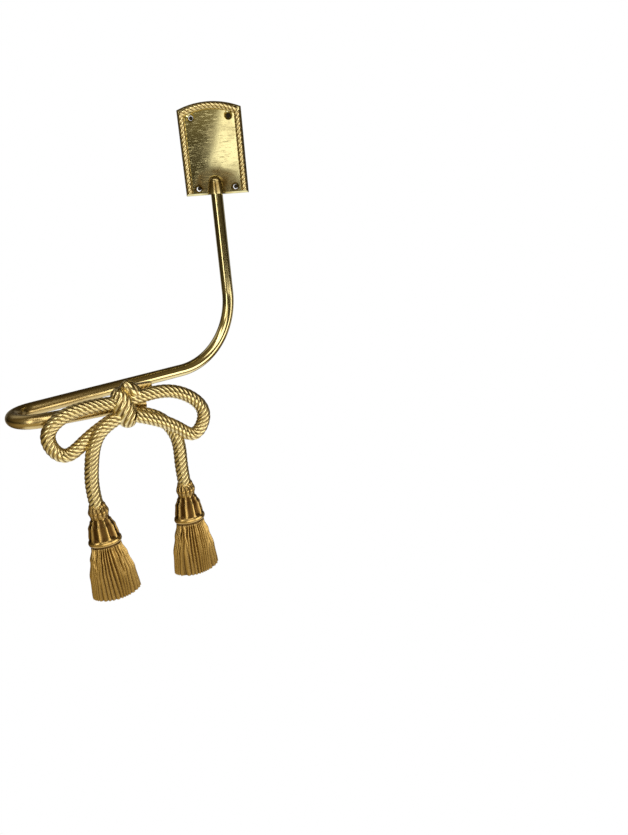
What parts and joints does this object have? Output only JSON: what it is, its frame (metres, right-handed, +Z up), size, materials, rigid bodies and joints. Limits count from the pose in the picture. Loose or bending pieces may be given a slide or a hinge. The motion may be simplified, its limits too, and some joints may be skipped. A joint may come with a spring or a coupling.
{
  "type": "curtain holdback",
  "caption": "Wall-fixed brass curtain holdback: an arched screw plate carries a bent round arm that ends in a hook with a cast rope bow and hanging tassels.",
  "frame": {"origin": "centre of the four screw holes, on the back face of the wall plate", "axes": "+Y into the wall, +Z up, +X to the right as seen from the room"},
  "size_m": [0.162, 0.1795, 0.334],
  "materials": {
    "plate_brass": "polished, lightly tarnished",
    "arm_brass": "polished",
    "bow_brass": "polished relief with dark recesses"
  },
  "bodies": {
    "root": {"wall_plate": "plate_brass", "arm": "arm_brass", "bow_ornament": "bow_brass"}
  },
  "joints": []
}
